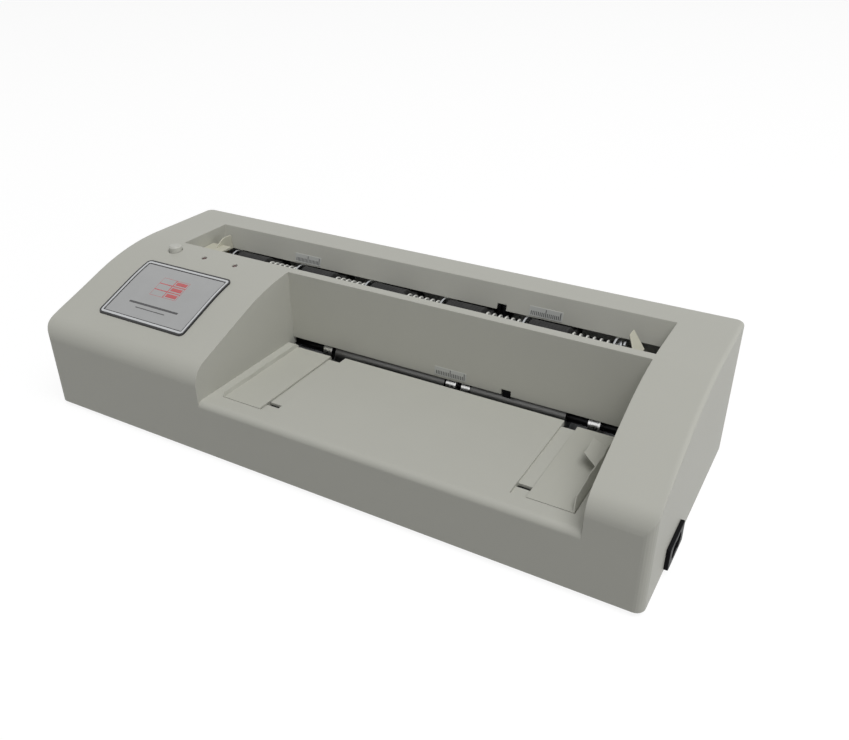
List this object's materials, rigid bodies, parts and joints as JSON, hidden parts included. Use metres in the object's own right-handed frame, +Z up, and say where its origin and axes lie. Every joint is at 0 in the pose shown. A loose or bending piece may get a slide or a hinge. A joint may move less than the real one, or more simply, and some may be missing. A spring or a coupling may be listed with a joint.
{
  "type": "business card cutter",
  "caption": "Desktop machine with geared round blades that slits a sheet into strips at a rear hopper and the strips into cards at a front bay with sliding guides and a start button.",
  "frame": {"origin": "on the surface that the feet stand on, under the middle of the casing", "axes": "+X along the machine towards the power inlet, +Y from its front to its rear, +Z up"},
  "size_m": [0.3902, 0.158, 0.0884],
  "materials": {
    "casing": "fine-grained moulded ABS, warm light grey",
    "guide_plastic": "smooth moulded plastic, a shade lighter than the casing",
    "cream_plastic": "cream moulded plastic",
    "black_plastic": "black moulded plastic",
    "rubber": "black moulded rubber",
    "steel": "ground steel",
    "blade_steel": "polished hardened steel",
    "sleeve_metal": "satin turned aluminium",
    "sheet_metal": "zinc-plated sheet steel",
    "bronze": "sintered bronze",
    "gear_nylon": "natural nylon",
    "motor_can": "grey plated motor can",
    "board": "green glass-fibre board",
    "components": "moulded electronic parts",
    "standoff_nylon": "natural nylon",
    "button_plastic": "smooth white plastic",
    "lamp": "dark red tinted resin",
    "pin_metal": "nickel-plated brass",
    "badge_rim": "black and silver printed rim under clear resin",
    "badge_face": "silver-white printed face",
    "scale_film": "pale grey printed film"
  },
  "bodies": {
    "chassis": {"top_cover": "casing", "base_plate": "sheet_metal", "rubber_feet": "rubber", "cover_screws": "steel", "left_side_plate": "sheet_metal", "right_side_plate": "sheet_metal", "tie_bars": "steel", "shaft_bushes": "bronze", "frame_screws": "steel", "exit_ramp": "sheet_metal", "strip_deflector": "sheet_metal", "rear_guide_rail": "steel", "motor": "motor_can", "motor_screws": "steel", "idler_studs": "steel", "front_flag_bracket": "black_plastic", "rear_flag_bracket": "black_plastic", "circuit_board": "board", "board_components": "components", "board_standoffs": "standoff_nylon", "switch_board": "board", "start_switch": "black_plastic", "indicator_lamps": "lamp", "power_inlet": "black_plastic", "inlet_pins": "pin_metal", "badge_frame": "badge_rim", "badge_plate": "badge_face", "front_scale": "scale_film", "rear_scale_left": "scale_film", "rear_scale_right": "scale_film"},
    "motor_drive": {"motor_shaft": "steel", "motor_pinion": "bronze"},
    "drive_idler_wheel": {"drive_idler": "gear_nylon"},
    "transfer_idler_wheel": {"transfer_idler": "gear_nylon"},
    "front_lower_roller": {"front_lower_gear": "gear_nylon", "front_lower_shaft": "steel", "front_feed_sleeves": "sleeve_metal", "front_lower_blades": "blade_steel"},
    "front_upper_roller": {"front_upper_gear": "gear_nylon", "front_upper_shaft": "steel", "front_upper_rollers": "rubber", "front_upper_blades": "blade_steel"},
    "rear_lower_roller": {"rear_drive_gear": "gear_nylon", "rear_lower_pair_gear": "gear_nylon", "rear_lower_shaft": "steel", "rear_lower_rollers": "rubber", "rear_lower_blades": "blade_steel"},
    "rear_upper_roller": {"rear_upper_pair_gear": "gear_nylon", "rear_upper_shaft": "steel", "rear_upper_rollers": "rubber", "rear_upper_blades": "blade_steel", "blade_springs": "blade_steel"},
    "front_left_guide": {"front_guide_left": "guide_plastic"},
    "front_right_guide": {"front_guide_right": "guide_plastic"},
    "rear_left_guide": {"rear_guide_left": "cream_plastic"},
    "rear_right_guide": {"rear_guide_right": "cream_plastic"},
    "front_flag": {"front_paper_flag": "black_plastic"},
    "rear_flag": {"rear_paper_flag": "black_plastic"},
    "button": {"start_button": "button_plastic"}
  },
  "joints": [
    {"name": "front_lower_spin", "type": "hinge", "parent": "chassis", "child": "front_lower_roller", "pos_m": [0, 0.0225, 0.0304], "axis": [1, 0, 0], "continuous": true},
    {"name": "front_upper_spin", "type": "hinge", "parent": "chassis", "child": "front_upper_roller", "pos_m": [0, 0.0225, 0.0464], "axis": [1, 0, 0], "continuous": true},
    {"name": "rear_lower_spin", "type": "hinge", "parent": "chassis", "child": "rear_lower_roller", "pos_m": [0, 0.05607, 0.06047], "axis": [1, 0, 0], "continuous": true},
    {"name": "rear_upper_spin", "type": "hinge", "parent": "chassis", "child": "rear_upper_roller", "pos_m": [0, 0.0395, 0.0675], "axis": [1, 0, 0], "continuous": true},
    {"name": "drive_idler_spin", "type": "hinge", "parent": "chassis", "child": "drive_idler_wheel", "pos_m": [0, -0.00541, 0.02811], "axis": [1, 0, 0], "continuous": true},
    {"name": "transfer_idler_spin", "type": "hinge", "parent": "chassis", "child": "transfer_idler_wheel", "pos_m": [0, 0.0415, 0.04677], "axis": [1, 0, 0], "continuous": true},
    {"name": "motor_spin", "type": "hinge", "parent": "chassis", "child": "motor_drive", "pos_m": [0, -0.031, 0.0235], "axis": [1, 0, 0], "continuous": true},
    {"name": "front_left_guide_slide", "type": "slide", "parent": "chassis", "child": "front_left_guide", "axis": [1, 0, 0], "range_m": [0, 0.009]},
    {"name": "front_right_guide_slide", "type": "slide", "parent": "chassis", "child": "front_right_guide", "axis": [1, 0, 0], "range_m": [-0.008, 0]},
    {"name": "rear_left_guide_slide", "type": "slide", "parent": "chassis", "child": "rear_left_guide", "axis": [1, 0, 0], "range_m": [0, 0.006]},
    {"name": "rear_right_guide_slide", "type": "slide", "parent": "chassis", "child": "rear_right_guide", "axis": [1, 0, 0], "range_m": [-0.005, 0]},
    {"name": "front_flag_swing", "type": "hinge", "parent": "chassis", "child": "front_flag", "pos_m": [0, 0.0175, 0.055], "axis": [1, 0, 0], "range_deg": [0, 12], "stiffness_Nm_per_rad": 0.0005, "springref_deg": -5.73},
    {"name": "rear_flag_swing", "type": "hinge", "parent": "chassis", "child": "rear_flag", "pos_m": [0, 0.061, 0.067], "axis": [1, 0, 0], "range_deg": [0, 10], "stiffness_Nm_per_rad": 0.0005, "springref_deg": -5.73},
    {"name": "button_press", "type": "slide", "parent": "chassis", "child": "button", "axis": [0, 0, -1], "range_m": [0, 0.0012], "stiffness_N_per_m": 300, "springref_m": -0.001}
  ],
  "couplings": [
    {"joint": "front_upper_spin", "follows": "front_lower_spin", "ratio": -1},
    {"joint": "drive_idler_spin", "follows": "front_lower_spin", "ratio": -0.4},
    {"joint": "motor_spin", "follows": "front_lower_spin", "ratio": 1.3333},
    {"joint": "transfer_idler_spin", "follows": "front_lower_spin", "ratio": 0.72727},
    {"joint": "rear_lower_spin", "follows": "front_lower_spin", "ratio": -0.88889},
    {"joint": "rear_upper_spin", "follows": "front_lower_spin", "ratio": 0.88889}
  ]
}
